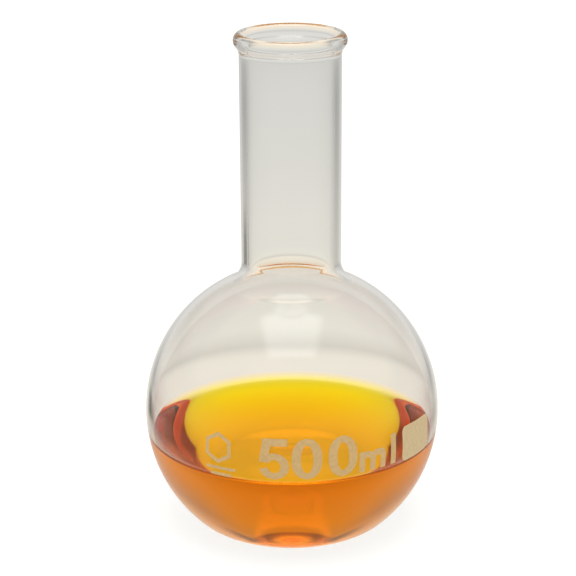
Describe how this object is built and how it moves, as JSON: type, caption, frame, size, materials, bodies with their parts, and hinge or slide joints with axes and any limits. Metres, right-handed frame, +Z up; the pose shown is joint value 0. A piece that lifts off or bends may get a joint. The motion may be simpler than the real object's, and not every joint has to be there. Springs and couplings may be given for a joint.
{
  "type": "flat bottom boiling flask",
  "caption": "Round glass bulb on a flat base with a long straight neck and beaded rim, part-filled with amber liquid and marked with its capacity.",
  "frame": {"origin": "centre of the base, on the surface that the flask stands on", "axes": "+Z up along the neck; -Y is the front, where the capacity mark is"},
  "size_m": [0.105, 0.1055, 0.1772],
  "materials": {
    "clear_glass": "polished clear borosilicate glass",
    "amber_liquid": "clear amber liquid, still surface",
    "fired_enamel": "matt pale enamel fired onto glass"
  },
  "bodies": {
    "root": {"flask_body": "clear_glass", "liquid_fill": "amber_liquid", "hexagon_mark": "fired_enamel", "mark_bar_upper": "fired_enamel", "mark_bar_lower": "fired_enamel", "digit_5": "fired_enamel", "digit_0_left": "fired_enamel", "digit_0_right": "fired_enamel", "letter_m": "fired_enamel", "letter_l": "fired_enamel", "write_on_patch": "fired_enamel"}
  },
  "joints": []
}
